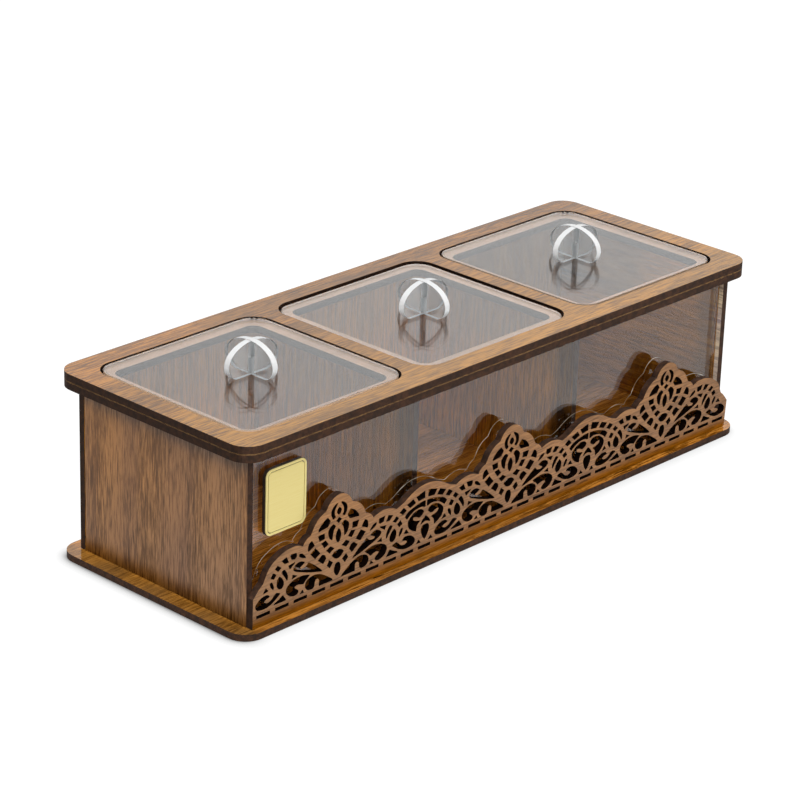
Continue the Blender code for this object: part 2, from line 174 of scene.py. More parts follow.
# The fretwork in metres, with its openings widened, its lean forward and its stretch upwards
body_length = lace_high.x - lace_low.x
lace_height = lace_high.z - lace_low.z
lace_thickness = lace_high.y - lace_low.y
lace_column = body_length / (2 * (2 * LACE_HALF_REPEAT_COLUMNS + LACE_END_COLUMNS))
lace_row = lace_height / LACE_ROWS
lace_half_repeat = LACE_HALF_REPEAT_COLUMNS * lace_column
lace_cut = 0.26 * MM
lace_shift = 0.15 * MM
lace_lean = 1.45 * MM
lace_lean_change = 0.9 * MM
LACE_STRETCH_SHARE = 1.025
LACE_STEPS = 5
WALL_SLOPE = 0.5


# Shader helpers

AXES = {"x": 0, "y": 1, "z": 2}
WHITE = (1.0, 1.0, 1.0)

# A facet belongs to a board's face where its normal follows the face axis by more than this
FACE_SLOPE = 0.7


def new_material(name):
    material = bpy.data.materials.new(name)
    material.use_nodes = True
    return material, material.node_tree, material.node_tree.nodes["Principled BSDF"]


def add(tree, kind, inputs=None, **settings):
    """Add a node, with its settings, its numbers and its links."""
    node = tree.nodes.new(kind)
    for key, value in settings.items():
        setattr(node, key, value)
    for key, value in (inputs or {}).items():
        if isinstance(value, bpy.types.NodeSocket):
            tree.links.new(value, node.inputs[key])
        else:
            node.inputs[key].default_value = value
    return node


def calc(tree, operation, first, second=0.0):
    return add(tree, "ShaderNodeMath", {0: first, 1: second}, operation=operation).outputs[0]


def rest_of(tree, share):
    return calc(tree, "SUBTRACT", 1.0, share)


def swing(tree, value, reach):
    """A noise value turned into one that swings about zero."""
    return calc(tree, "MULTIPLY", calc(tree, "SUBTRACT", value, 0.5), reach)


def ramp(tree, value, low, high):
    """0 below low, 1 above high, smooth between."""
    node = add(tree, "ShaderNodeMapRange", {"Value": value, "From Min": low, "From Max": high},
               interpolation_type="SMOOTHSTEP", clamp=True)
    return node.outputs[0]


def between(tree, factor, first, second):
    """A number from the first to the second."""
    return add(tree, "ShaderNodeMix", {0: factor, 2: first, 3: second}, data_type="FLOAT").outputs[0]


def mix(tree, factor, first, second, blend="MIX"):
    """A colour from the first to the second, or one blended with the other."""
    node = add(tree, "ShaderNodeMix", data_type="RGBA", blend_type=blend)
    for socket, value in ((node.inputs[0], factor), (node.inputs[6], first), (node.inputs[7], second)):
        if isinstance(value, bpy.types.NodeSocket):
            tree.links.new(value, socket)
        elif isinstance(value, tuple):
            socket.default_value = (*value, 1.0)
        else:
            socket.default_value = value
    return node.outputs[2]


def object_point(tree):
    return add(tree, "ShaderNodeTexCoord").outputs["Object"]


def split(tree, vector):
    """The vector's three numbers."""
    return add(tree, "ShaderNodeSeparateXYZ", {0: vector}).outputs


def normal_parts(tree):
    return split(tree, add(tree, "ShaderNodeTexCoord").outputs["Normal"])


def noise(tree, point, stretch, offset, detail, roughness):
    """Noise with its own number of features per metre along each axis."""
    place = add(tree, "ShaderNodeMapping", {"Vector": point, "Location": offset, "Scale": stretch})
    node = add(tree, "ShaderNodeTexNoise", {"Vector": place.outputs[0], "Scale": 1.0, "Detail": detail,
                                            "Roughness": roughness})
    return node.outputs["Fac"]


def even_noise(tree, point, seed, features, detail, roughness):
    """Noise with the same number of features per metre every way."""
    return noise(tree, point, (features, features, features), (seed, 0, 0), detail, roughness)


def along(axis, lengthwise, crosswise):
    """A stretch that is lengthwise along the grain and crosswise across it."""
    stretch = [crosswise] * 3
    stretch[AXES[axis]] = lengthwise
    return tuple(stretch)


def shaded(colour, share):
    return tuple(part * share for part in colour)


# The walnut print

LIGHT_WOOD = (0.44, 0.176, 0.018)
DARK_WOOD = (0.135, 0.050, 0.005)
GREY_WOOD = (0.20, 0.098, 0.030)

# Each layer's step from the seed, features per metre along the grain and across it, detail and roughness
GRAIN_LAYERS = {
    "rings": (1, 6.0, 42.0, 1.5, 0.5),
    "bands": (2, 7.0, 90.0, 3.0, 0.55),
    "streaks": (3, 14.0, 620.0, 3.0, 0.6),
    "fibres": (4, 110.0, 1500.0, 3.0, 0.7),
    "pores": (5, 70.0, 1700.0, 1.0, 0.5),
    "patches": (6, 20.0, 160.0, 1.0, 0.5),
    "dusk": (7, 5.0, 55.0, 1.0, 0.5),
}

# How far each layer shifts or shades the print, and between which noise values it comes in
sway_reach = 6.0 * MM
SWAY_STRETCH = (18.0, 40.0)
SWAY_OFFSET = (0.3, 0.7)
RING_COUNT = 95.0
RING_SHARE = 0.06
BAND_SHARE = 1.7
STREAK_SHARE = 0.9
STREAK_LOSS = 0.1
FIBRE_SHARE = 3.4
DUSK_RANGE = (0.35, 0.68)
DUSK_SHARE = 0.35
PATCH_SHARE = 0.35
PORE_RANGE = (0.62, 0.72)
PORE_SHARE = 0.75
PORE_DARKNESS = 0.35


def wood_grain(tree, axis, seed, light, dark, strength, fine, broad, calm):
    """The printed walnut: wandering growth rings, broad bands, streaks, fibres and short dark pores."""
    point = object_point(tree)

    def layer(kind, place):
        step, lengthwise, crosswise, detail, roughness = GRAIN_LAYERS[kind]
        stretch = along(axis, lengthwise, crosswise)
        return noise(tree, place, stretch, (seed + step, 0, 0), detail, roughness)

    sway = noise(tree, point, along(axis, *SWAY_STRETCH), (seed, *SWAY_OFFSET), 1.0, 0.5)
    sway = swing(tree, sway, sway_reach * broad)
    moved = add(tree, "ShaderNodeCombineXYZ", {0: sway, 1: sway, 2: sway}).outputs[0]
    bent = add(tree, "ShaderNodeVectorMath", {0: point, 1: moved}, operation="ADD").outputs[0]
    rings = calc(tree, "SINE", calc(tree, "MULTIPLY", layer("rings", bent), RING_COUNT))
    tone = calc(tree, "MULTIPLY", rings, RING_SHARE)
    tone = calc(tree, "ADD", tone, swing(tree, layer("bands", bent), BAND_SHARE * broad))
    tone = calc(tree, "ADD", tone, swing(tree, layer("streaks", bent), STREAK_SHARE - STREAK_LOSS * fine))
    tone = calc(tree, "ADD", tone, swing(tree, layer("fibres", point), FIBRE_SHARE * fine))
    tone = calc(tree, "MULTIPLY", calc(tree, "MULTIPLY", tone, strength), calm)
    tone = ramp(tree, calc(tree, "ADD", tone, 0.5), 0.0, 1.0)
    colour = mix(tree, tone, light, dark)
    dusk = ramp(tree, layer("dusk", bent), *DUSK_RANGE)
    dusk = calc(tree, "MULTIPLY", dusk, DUSK_SHARE * strength * broad)
    colour = mix(tree, dusk, colour, GREY_WOOD)
    patches = swing(tree, layer("patches", bent), PATCH_SHARE)
    pores = calc(tree, "ADD", layer("pores", bent), patches)
    pores = calc(tree, "MULTIPLY", ramp(tree, pores, *PORE_RANGE), calm)
    shown = calc(tree, "MULTIPLY", pores, PORE_SHARE * strength * fine)
    return mix(tree, shown, colour, shaded(dark, PORE_DARKNESS)), pores


# Tints paint light and shade into the print by place.
def tint(axis, start, end, last, first=WHITE, ramps=(), halves=()):
    """A factor on the print that changes from first to last between two places on an axis.

    Each further ramp (axis, outer, inner) lets it come in from outer to inner. Half sizes along x and y
    leave the print beyond them as it is."""
    return axis, start, end, first, last, ramps, halves


def within(tree, places, axis, half):
    """1 nearer to the middle of an axis than the half size, 0 beyond."""
    return calc(tree, "LESS_THAN", calc(tree, "ABSOLUTE", places[AXES[axis]]), half)


def tinted(tree, places, colour, painted_tints):
    """The colour times each tint's factor."""
    for axis, start, end, first, last, ramps, halves in painted_tints:
        share = ramp(tree, places[AXES[axis]], start, end)
        for ramp_axis, outer, inner in ramps:
            share = calc(tree, "MULTIPLY", share, ramp(tree, places[AXES[ramp_axis]], outer, inner))
        factor = mix(tree, share, first, last)
        for half_axis, half in zip("xy", halves):
            factor = mix(tree, within(tree, places, half_axis, half), WHITE, factor)
        colour = mix(tree, 1.0, colour, factor, "MULTIPLY")
    return colour


# Boards, their burnt edges and the glue films in them

CHAR = (0.0345, 0.014, 0.006)
# Near black for the fretwork's opening walls: their char together with painted shade
OPENING_CHAR_AND_SHADE = (0.004, 0.0015, 0.0008)
FILM = (0.44, 0.245, 0.085)
CHAR_SHADES = (0.55, 2.0)
OPENING_SHADES = (0.5, 2.0)
OPENING_ROUGHNESS = 0.8
OPENING_SHINE = 0.03

# Features per metre, detail and roughness of the noise, and the values between which it comes in
SMOKE_NOISE = (420.0, 3.0, 0.7)
SMOKE_RANGE = (0.3, 0.75)
FILM_NOISE = (260.0, 2.0, 0.6)
FILM_RANGE = (0.33, 0.62)
FILM_SEED_STEP = 8

# The edges that look left are darker
LEFT_EDGE_RANGE = (-0.72, -0.99)
WOOD_IOR = 1.5
EDGE_ROUGHNESS = 0.7
EDGE_SHINE = 0.3
PORE_ROUGHNESS = 0.12
PORE_BUMP = 0.15
pore_depth = 0.05 * MM


def smoky(tree, point, seed, colour, shades):
    """A burnt colour that wanders between two shades."""
    smoke = even_noise(tree, point, seed, *SMOKE_NOISE)
    return mix(tree, ramp(tree, smoke, *SMOKE_RANGE), *(shaded(colour, share) for share in shades))


def board_material(name, grain, face, seed, light=LIGHT_WOOD, dark=DARK_WOOD, strength=1.0, fine=1.0,
                   broad=1.0, roughness=0.22, shine=0.5, painted_tints=(), foot=None, calm_inside=None, films=(),
                   left_darkening=0.4, shaded_inside=None, inside_shade=0.65):
    """A laminated board: walnut print on its faces, and dark cut edges with film lines at given places.

    A foot paints shade towards a joint at its lower end: it darkens the print and turns its shine down.
    Calm_inside fades the figure from one depth to another to a share. Edges within the half sizes given
    for the inside are darker by painted shade."""
    material, tree, shader = new_material(name)
    point = object_point(tree)
    places = split(tree, point)
    calm = 1.0
    if calm_inside:
        start, end, share = calm_inside
        calm = between(tree, ramp(tree, places[1], start, end), 1.0, share)
    colour, pores = wood_grain(tree, grain, seed, light, dark, strength, fine, broad, calm)
    colour = tinted(tree, places, colour, painted_tints)
    if foot:
        start, end, factor = foot
        share = ramp(tree, places[2], start, end)
        colour = mix(tree, share, colour, mix(tree, 1.0, colour, factor, "MULTIPLY"))
        shine = calc(tree, "SUBTRACT", shine, calc(tree, "MULTIPLY", share, shine))

    normal = normal_parts(tree)
    is_face = calc(tree, "GREATER_THAN", calc(tree, "ABSOLUTE", normal[AXES[face]]), FACE_SLOPE)
    char = smoky(tree, point, seed, CHAR, CHAR_SHADES)
    for level in films:
        distance = calc(tree, "ABSOLUTE", calc(tree, "SUBTRACT", places[AXES[face]], level))
        shown = calc(tree, "LESS_THAN", distance, film_half_width)
        patches = even_noise(tree, point, seed + FILM_SEED_STEP, *FILM_NOISE)
        shown = calc(tree, "MULTIPLY", shown, ramp(tree, patches, *FILM_RANGE))
        char = mix(tree, shown, char, FILM)
    # Edges that look left are darker and duller
    burnt = ramp(tree, normal[0], *LEFT_EDGE_RANGE)
    keep = rest_of(tree, calc(tree, "MULTIPLY", burnt, left_darkening))
    # Edges inside the given half sizes are darker still: painted shade in the walls of the openings
    if shaded_inside:
        inner = [within(tree, places, axis, half) for axis, half in zip("xy", shaded_inside)]
        inner = calc(tree, "MULTIPLY", *inner)
        keep = calc(tree, "MULTIPLY", keep, rest_of(tree, calc(tree, "MULTIPLY", inner, inside_shade)))
    char = add(tree, "ShaderNodeVectorMath", {0: char, "Scale": keep}, operation="SCALE").outputs[0]
    tree.links.new(mix(tree, is_face, char, colour), shader.inputs["Base Color"])

    rough = between(tree, is_face, EDGE_ROUGHNESS, roughness)
    rough = calc(tree, "ADD", rough, calc(tree, "MULTIPLY", pores, PORE_ROUGHNESS * fine))
    tree.links.new(rough, shader.inputs["Roughness"])
    dull = calc(tree, "MULTIPLY", keep, EDGE_SHINE)
    tree.links.new(between(tree, is_face, dull, shine), shader.inputs["Specular IOR Level"])
    shader.inputs["IOR"].default_value = WOOD_IOR
    bump = add(tree, "ShaderNodeBump",
               {"Height": pores, "Strength": PORE_BUMP * fine, "Distance": pore_depth})
    tree.links.new(bump.outputs[0], shader.inputs["Normal"])
    return material


def char_and_shade_material(name):
    """The walls of the fretwork's narrow cuts: their char, darkened further by painted shade."""
    material, tree, shader = new_material(name)
    colour = smoky(tree, object_point(tree), 0, OPENING_CHAR_AND_SHADE, OPENING_SHADES)
    tree.links.new(colour, shader.inputs["Base Color"])
    shader.inputs["Roughness"].default_value = OPENING_ROUGHNESS
    shader.inputs["Specular IOR Level"].default_value = OPENING_SHINE
    return material


# Acrylic

ACRYLIC_IOR = 1.49
FAR_EDGE_SHARE = 0.07
UPWARD_RANGE = (-0.3, 0.3)


def clear_material(name):
    """Clear polished acrylic, given with its node tree and its shader."""
    material, tree, shader = new_material(name)
    shader.inputs["Base Color"].default_value = (*WHITE, 1)
    shader.inputs["Roughness"].default_value = 0.0
    shader.inputs["IOR"].default_value = ACRYLIC_IOR
    shader.inputs["Transmission Weight"].default_value = 1.0
    return material, tree, shader


def frosted_material(name, face, frost, edge_roughness, painted_edge_colour, face_tint=WHITE, behind=None,
                     paint_upper_edges_only=False):
    """Clear acrylic with frosted cut edges in a painted edge colour.

    Edges at the back right of the point behind stay nearly clear and untinted. When set for upper edges
    only, the edge colour stays off edges that look down or to the side. The edge colour is painted light:
    painted shade on the knobs and a painted reflection of the wood below on the lids."""
    material, tree, shader = clear_material(name)
    normal = normal_parts(tree)
    cloudy = calc(tree, "LESS_THAN", calc(tree, "ABSOLUTE", normal[AXES[face]]), FACE_SLOPE)
    painted_edges = cloudy
    if behind:
        place = split(tree, object_point(tree))
        reach = calc(tree, "ADD", place[0], place[1])
        front = calc(tree, "LESS_THAN", reach, behind.x + behind.y)
        painted_edges = calc(tree, "MULTIPLY", cloudy, front)
        cloudy = calc(tree, "MULTIPLY", cloudy, between(tree, front, FAR_EDGE_SHARE, 1.0))
    if paint_upper_edges_only:
        painted_edges = calc(tree, "MULTIPLY", cloudy, ramp(tree, normal[2], *UPWARD_RANGE))
    tree.links.new(mix(tree, painted_edges, face_tint, painted_edge_colour), shader.inputs["Base Color"])
    tree.links.new(calc(tree, "MULTIPLY", cloudy, edge_roughness), shader.inputs["Roughness"])
    clear = rest_of(tree, calc(tree, "MULTIPLY", cloudy, frost))
    tree.links.new(clear, shader.inputs["Transmission Weight"])
    return material


def dress(node, material):
    mesh = nodes[node].data
    mesh.materials.clear()
    mesh.materials.append(material)


# Shape helpers

def curve_through(points, steps):
    """Close a smooth curve through the points, with a sharp turn at each marked corner."""
    count = len(points)
    places = [(point[0], point[1]) for point in points]
    sharp = [len(point) > 2 for point in points]
    outline = []
    for index in range(count):
        before, start, end, after = (places[(index + k) % count] for k in (-1, 0, 1, 2))
        start_sharp = sharp[index]
        end_sharp = sharp[(index + 1) % count]
        pieces = 1 if start_sharp and end_sharp else steps
        for piece in range(pieces):
            t = piece / pieces
            point = []
            for axis in (0, 1):
                chord = end[axis] - start[axis]
                leave = chord if start_sharp else (end[axis] - before[axis]) / 2
                arrive = chord if end_sharp else (after[axis] - start[axis]) / 2
                point.append(start[axis] + t * leave + t * t * (3 * chord - 2 * leave - arrive)
                             + t * t * t * (leave + arrive - 2 * chord))
            outline.append(tuple(point))
    return outline


def on_lace(axis_x, side, points):
    """Turn grid points beside an axis into metres on the panel, keeping corner marks."""
    return [(axis_x + side * point[0] * lace_column, point[1] * lace_row, *point[2:]) for point in points]


def axis_opening(axis_x, half):
    """Mirror a half outline about its axis."""
    right = on_lace(axis_x, 1, half)
    left = on_lace(axis_x, -1, half[-2:0:-1])
    return curve_through(right + left, LACE_STEPS)


def widened(outline, amount):
    """Move each point of a closed outline outwards by the amount."""
    area = sum(a[0] * b[1] - b[0] * a[1] for a, b in zip(outline, outline[1:] + outline[:1]))
    side = math.copysign(1.0, area)
    moved = []
    for before, point, after in zip(outline[-1:] + outline[:-1], outline, outline[1:] + outline[:1]):
        run = Vector((after[0] - before[0], after[1] - before[1])).normalized()
        moved.append((point[0] + side * run.y * amount, point[1] - side * run.x * amount))
    return moved


def lace_openings():
    """The openings of every medallion and scallop, and the row of slots along the foot."""
    medallions = [k * 2 * lace_half_repeat for k in (-1, 0, 1)]
    scallops = [k * lace_half_repeat for k in (-1, 1)]
    openings = []
    for axes, on_axis, beside in ((medallions, MEDALLION_AXIS_SHARES, MEDALLION_SIDE_SHARES),
                                  (scallops, SCALLOP_AXIS_SHARES, SCALLOP_SIDE_SHARES)):
        for axis_x in axes:
            openings += [axis_opening(axis_x, half) for half in on_axis]
            for side in (-1, 1):
                openings += [curve_through(on_lace(axis_x, side, points), LACE_STEPS) for points in beside]
    openings = [widened(opening, lace_cut) for opening in openings]
    half_slot = SLOT_WIDTH_SHARE * lace_half_repeat
    low, high = (share * lace_height for share in SLOT_HEIGHT_SHARES)
    for index in range(SLOT_COUNT):
        middle = (index - (SLOT_COUNT - 1) / 2) * SLOT_PITCH_SHARE * 2 * lace_half_repeat
        left, right = middle - half_slot, middle + half_slot
        openings.append([(left, low), (right, low), (right, high), (left, high)])
    return openings


def lace_edge():
    """The panel's outline: right half from the middle medallion to the end, then mirrored."""
    outer = 2 * lace_half_repeat
    half_repeat = MEDALLION_EDGE_SHARES + MIDDLE_EDGE_SHARES
    right = on_lace(0, 1, half_repeat)
    right += on_lace(outer, -1, half_repeat[-2::-1])
    right += on_lace(outer, 1, (MEDALLION_EDGE_SHARES + END_EDGE_SHARES)[1:])
    left = [(-point[0], *point[1:]) for point in right[:0:-1]]
    return curve_through(right + left, LACE_STEPS)


def rounded_rectangle(width, height, radius):
    points = []
    for quarter, (side, level) in enumerate(((1, 1), (-1, 1), (-1, -1), (1, -1))):
        corner_x = side * (width / 2 - radius)
        corner_y = level * (height / 2 - radius)
        for step in range(CORNER_STEPS + 1):
            angle = (quarter + step / CORNER_STEPS) * math.pi / 2
            points.append((corner_x + radius * math.cos(angle), corner_y + radius * math.sin(angle)))
    return points


def plate_mesh(name, outlines, thickness, bevel=0.0):
    """A flat plate on its own XY plane from z 0 to its thickness: an edge and its openings."""
    curve = bpy.data.curves.new(name, "CURVE")
    curve.dimensions = "2D"
    curve.fill_mode = "BOTH"
    curve.extrude = thickness / 2
    for outline in outlines:
        spline = curve.splines.new("POLY")
        spline.points.add(len(outline) - 1)
        for point, (x, y) in zip(spline.points, outline):
            point.co = (x, y, 0, 1)
        spline.use_cyclic_u = True
    flat = bpy.data.objects.new(name + "_curve", curve)
    mesh = bpy.data.meshes.new_from_object(flat)
    bpy.data.objects.remove(flat)
    mesh.name = name
    solid = bmesh.new()
    solid.from_mesh(mesh)
    bmesh.ops.remove_doubles(solid, verts=solid.verts, dist=weld_reach)
    bmesh.ops.translate(solid, verts=solid.verts, vec=(0, 0, thickness / 2))
    bmesh.ops.recalc_face_normals(solid, faces=solid.faces)
    if bevel:
        rims = [edge for edge in solid.edges if edge.calc_face_angle(0.0) > RIM_ANGLE]
        bmesh.ops.bevel(solid, geom=rims, offset=bevel, segments=BEVEL_SEGMENTS, profile=BEVEL_PROFILE,
                        affect="EDGES")
    for facet in solid.faces:
        facet.smooth = False
    solid.to_mesh(mesh)
    solid.free()
    mesh.materials.clear()
    return mesh


def upright(x, y, z):
    """Stand a plate up at a place, with its thickness towards the front."""
    return Matrix.Translation((x, y, z)) @ Matrix.Rotation(math.pi / 2, 4, "X")


def add_object(name, mesh, body, slot, *replaced):
    obj = bpy.data.objects.new(name, mesh)
    bpy.context.scene.collection.objects.link(obj)
    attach(obj, body)
    if replaced:
        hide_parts(*replaced)
    return obj


# Base: painted light to the left but painted shade at its very end, and a painted shadow of the fretwork
# inside the window with painted light further in

BASE_LIGHT = (0.70, 0.29, 0.045)
BASE_DARK = (0.18, 0.060, 0.003)
base_left_painted_light = tint("x", -50 * MM, -95 * MM, (1.45, 1.40, 1.2))
base_end_painted_shade = tint("x", -139 * MM, -146 * MM, (0.46, 0.52, 0.7))
# Painted shadow of the fretwork on the floor inside the window, and painted light further back
base_painted_fretwork_shadow = tint("y", window_high.y + 55 * MM, window_high.y + 8 * MM, (0.25, 0.22, 0.2),
                  first=(1.25, 1.25, 1.25), halves=(143 * MM, 47 * MM))
base_calm = (window_low.y, window_high.y, 0.45)
dress("base_plate", board_material(
    "walnut_base", grain="x", face="z", seed=3.0, light=BASE_LIGHT, dark=BASE_DARK, strength=1.5,
    roughness=0.12, painted_tints=(base_left_painted_light, base_end_painted_shade, base_painted_fretwork_shadow), calm_inside=base_calm, left_darkening=0.0))


# Top boards: painted light, paler to the front and behind the left lid

# The ledge's print is painted paler and pinker than the top's: painted light through the lids
LEDGE_LIGHT_PAINTED_LIT = (0.80, 0.46, 0.24)
LEDGE_DARK_PAINTED_LIT = (0.56, 0.30, 0.14)
top_front_painted_light = tint("y", upper_high.y, upper_low.y, (1.38, 1.48, 1.05), first=(0.95, 0.95, 0.95))
top_left_painted_light = tint("x", -62 * MM, -92 * MM, (1.55, 1.5, 1.4), ramps=(("y", 22 * MM, 42 * MM),))
# The walls of the openings within these half sizes get painted shade
opening_halves = (upper_high.x - top_opening_margin, upper_high.y - top_opening_margin)
dress("top_frame_upper", board_material(
    "walnut_top", grain="x", face="z", seed=12.0, strength=0.9, roughness=0.15,
    painted_tints=(top_front_painted_light, top_left_painted_light), films=(upper_low.z,), shaded_inside=opening_halves))
dress("top_frame_lower", board_material(
    "walnut_ledge", grain="x", face="z", seed=17.0, light=LEDGE_LIGHT_PAINTED_LIT, dark=LEDGE_DARK_PAINTED_LIT, strength=0.8,
    fine=0.5, films=(lower_high.z,), shaded_inside=opening_halves, inside_shade=0.9))


# Left side: painted light at its front edge, painted shade low down and in the top boards' shade, a
# painted sheen that greys it more towards the front, and painted shade at its foot

LEFT_LIGHT = (0.46, 0.215, 0.037)
LEFT_DARK = (0.135, 0.050, 0.0035)
# Painted sheen: greyer and bluer, more so towards the front
left_painted_sheen = tint("y", base_high.y, base_low.y, (0.93, 0.98, 2.3), first=(1.10, 1.06, 1.8))
left_front_painted_light = tint("y", -42 * MM, -46 * MM, (1.25, 1.2, 1.0))
left_lower_painted_shade = tint("z", 50 * MM, 12 * MM, (0.88, 0.93, 1.1))
left_upper_painted_shade = tint("z", 63 * MM, 71 * MM, (0.60, 0.70, 1.0))
# Painted shade at the foot, above the joint with the base
left_foot_painted_shade = (base_high.z + 10 * MM, base_high.z, (0.42, 0.34, 0.14))
dress("left_side_panel", board_material(
    "walnut_left", grain="z", face="x", seed=23.0, light=LEFT_LIGHT, dark=LEFT_DARK, broad=0.85,
    roughness=0.3, shine=0.4, foot=left_foot_painted_shade,
    painted_tints=(left_painted_sheen, left_front_painted_light, left_lower_painted_shade, left_upper_painted_shade)))


# Right side: painted shade within, a painted pale strip before the window, and plain outside

# The rooms' print is painted lighter than the plain walnut: painted light inside the box
ROOM_LIGHT_PAINTED_LIT = (0.58, 0.235, 0.018)
ROOM_DARK_PAINTED_LIT = (0.25, 0.096, 0.008)
OUTER_TINT = (0.76, 0.86, 1.9)
right_middle = (right_low.x + right_high.x) / 2
right_inside = (right_middle,)
right_upper_painted_shade = tint("z", 38 * MM, 50 * MM, (0.46, 0.52, 0.57), ramps=(("y", -12 * MM, 5 * MM),),
                         halves=right_inside)
right_near_painted_shade = tint("y", -30 * MM, -37 * MM, (0.58, 0.60, 0.62), halves=right_inside)
right_lower_painted_shade = tint("z", 34 * MM, 24 * MM, (0.76, 0.76, 0.78), ramps=(("y", 6 * MM, -2 * MM),),
                         halves=right_inside)
# Painted light: a pale grey strip of the side before the window
right_painted_light_strip = tint("y", window_low.y, window_low.y - joint_gap, (2.2, 4.3, 40.0), halves=right_inside)
# Plain outside, scaled back from the rooms' painted light; the inside is painted lighter still
right_outside = tint("x", right_middle, right_middle + joint_gap, OUTER_TINT, first=(1.12, 1.08, 1.0))
dress("right_side_panel", board_material(
    "walnut_right", grain="y", face="x", seed=29.0, light=ROOM_LIGHT_PAINTED_LIT, dark=ROOM_DARK_PAINTED_LIT, strength=1.35,
    fine=0.45, broad=0.4, shine=0.3,
    painted_tints=(right_upper_painted_shade, right_near_painted_shade, right_lower_painted_shade, right_painted_light_strip, right_outside)))


# Back and dividers: painted shade near the window, painted light low down and towards the back, painted
# shade to the right and at the top

back_middle = (back_low.y + back_high.y) / 2
room_halves = (right_middle, back_middle)
# Painted shade near the window, deeper low down
room_painted_shade_near_window = tint("y", -29 * MM, -37 * MM, (0.42, 0.44, 0.55))
room_low_painted_shade_near_window = tint("y", -29 * MM, -37 * MM, (0.2, 0.2, 0.3), ramps=(("z", 40 * MM, 33 * MM),))
room_low_painted_light = tint("z", 26 * MM, 12 * MM, (1.4, 1.36, 1.2),
                      ramps=(("y", 4 * MM, 14 * MM), ("y", 34 * MM, 24 * MM)))
# Plain outside: the outer half is scaled back from the rooms' painted light
room_outside = tint("y", back_middle, back_middle + joint_gap, OUTER_TINT)
room_back_painted_light = tint("y", 22 * MM, 40 * MM, (1.3, 1.25, 1.0), halves=room_halves)
room_right_painted_shade = tint("x", 60 * MM, 80 * MM, (0.5, 0.55, 0.6), halves=room_halves)
room_upper_painted_shade = tint("z", 42 * MM, 60 * MM, (0.72, 0.78, 0.85), halves=room_halves)
room_painted_tints = (room_painted_shade_near_window, room_low_painted_shade_near_window, room_low_painted_light, room_outside, room_back_painted_light, room_right_painted_shade,
              room_upper_painted_shade)
for node, face in (("back_panel", "y"), ("divider_left", "x"), ("divider_right", "x")):
    dress(node, board_material(
        "walnut_" + node, grain="z", face=face, seed=31.0, light=ROOM_LIGHT_PAINTED_LIT, dark=ROOM_DARK_PAINTED_LIT, strength=1.8,
        fine=0.5, broad=0.35, shine=0.3, painted_tints=room_painted_tints))


# Window and knobs

KNOB_FACE = (0.94, 0.96, 0.97)
# Painted shade: grey on the knobs' cut edges that look up, while the feet stay near white
KNOB_EDGE_PAINTED_SHADE = (0.80, 0.80, 0.80)
KNOB_FROST = 0.95
KNOB_EDGE_ROUGHNESS = 0.35
dress("front_window", clear_material("window_acrylic")[0])
for run, face in (("long", "y"), ("cross", "x")):
    knob_acrylic = frosted_material("knob_" + run + "_acrylic", face, KNOB_FROST, KNOB_EDGE_ROUGHNESS,
                                    KNOB_EDGE_PAINTED_SHADE, KNOB_FACE, paint_upper_edges_only=True)
    for node in nodes:
        if node.startswith("knob_plate_" + run):
            dress(node, knob_acrylic)


# Pieces added to the solids

# Painted reflection of the wood below in each lid's front left cut edges, darker on the right lid as
# painted shade
LID_EDGE_PAINTED_REFLECTIONS = {"left": (0.94, 0.65, 0.44), "middle": (0.94, 0.67, 0.47), "right": (0.45, 0.30, 0.19)}
LID_FROST = 0.9
LID_EDGE_ROUGHNESS = 0.3


def make_lid(side):
    """A polished lid with fine bevels along its rims, on which its knob stands."""
    low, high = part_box("lid_" + side)
    width = high.x - low.x
    mesh = plate_mesh("lid_plate_" + side, [rounded_rectangle(width, width, lid_radius)],
                      high.z - low.z + LID_LIFT_SHARE * joint_gap, lid_bevel)
    middle = (low + high) / 2
    mesh.transform(Matrix.Translation((middle.x, middle.y, low.z)))
    mesh.materials.append(frosted_material("lid_acrylic_" + side, "z", LID_FROST, LID_EDGE_ROUGHNESS,
                                           LID_EDGE_PAINTED_REFLECTIONS[side], behind=middle))
    add_object("lid_plate_" + side, mesh, side + "_lid", "clear_acrylic", "lid_" + side)


for side in LID_EDGE_PAINTED_REFLECTIONS:
    make_lid(side)


LACE_LIGHT = (0.46, 0.215, 0.075)
LACE_DARK = (0.22, 0.098, 0.034)
# Painted shade at the fretwork's foot, above the base
lace_foot_painted_shade = (lace_low.z + 7.3 * MM, lace_low.z + 0.3 * MM, (0.68, 0.49, 0.05))
# Painted light in the fretwork's upper part and painted shade at its left
lace_upper_painted_light = tint("z", lace_low.z + 20 * MM, lace_low.z + 32 * MM, (1.14, 1.09, 0.95))
lace_left_painted_shade = tint("x", -108 * MM, -125 * MM, (0.92, 0.94, 0.97))


